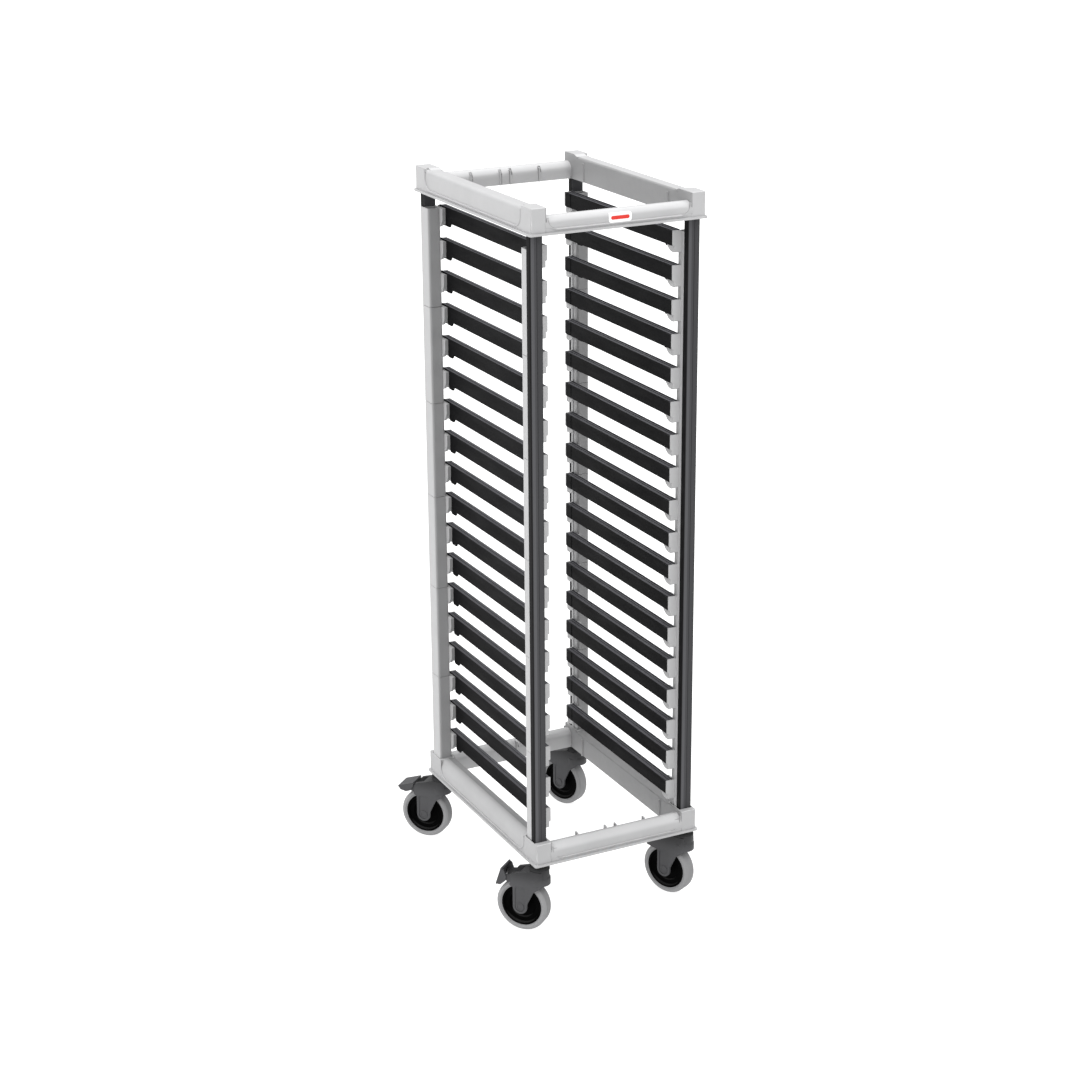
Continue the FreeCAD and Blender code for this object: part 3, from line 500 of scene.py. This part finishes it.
def make_floor():
    """A pale floor bright enough to keep its shadows faint."""
    bpy.ops.mesh.primitive_plane_add(size=FLOOR_SIZE, location=(RACK_X, RACK_Y, 0))
    floor = bpy.context.object
    floor.name = "floor"
    material, nodes, links, shader = new_material("pale_floor")
    shader.inputs["Base Color"].default_value = (0.35, 0.35, 0.35, 1)
    shader.inputs["Roughness"].default_value = 0.9
    shader.inputs["Emission Color"].default_value = (1, 1, 1, 1)
    shader.inputs["Emission Strength"].default_value = FLOOR_GLOW
    floor.data.materials.append(material)


def make_world():
    """Soft sky light, strongest overhead and a little stronger from the left."""
    world = bpy.data.worlds.new("studio")
    bpy.context.scene.world = world
    world.use_nodes = True
    nodes = world.node_tree.nodes
    links = world.node_tree.links
    place = nodes.new("ShaderNodeTexCoord")
    split = nodes.new("ShaderNodeSeparateXYZ")
    links.new(place.outputs["Generated"], split.inputs["Vector"])
    height = remap(
        nodes, links, split.outputs["Z"], SKY_FROM, SKY_TO, SKY_LOW, SKY_HIGH, smooth=True)
    side = remap(nodes, links, split.outputs["X"], -1.0, 1.0, SKY_LEFT, SKY_RIGHT)
    background = nodes["Background"]
    background.inputs["Color"].default_value = (1, 1, 1, 1)
    links.new(maths(nodes, links, "MULTIPLY", height, side), background.inputs["Strength"])


def make_camera():
    """A long lens from the front left, looking a little down."""
    lens = bpy.data.cameras.new("camera")
    camera = bpy.data.objects.new("camera", lens)
    bpy.context.scene.collection.objects.link(camera)
    lens.sensor_width = 36.0
    lens.lens = LENS
    forward = Vector(VIEW_DIRECTION)
    camera.location = (RACK_X + CAMERA_OFFSET[0], RACK_Y + CAMERA_OFFSET[1], CAMERA_HEIGHT)
    camera.rotation_mode = "QUATERNION"
    level = forward.to_track_quat("-Z", "Y")
    roll = Matrix.Rotation(radians(CAMERA_ROLL), 4, "Z").to_quaternion()
    camera.rotation_quaternion = level @ roll
    bpy.context.scene.camera = camera


make_floor()
make_world()
make_camera()
bpy.context.scene.view_settings.view_transform = "Standard"
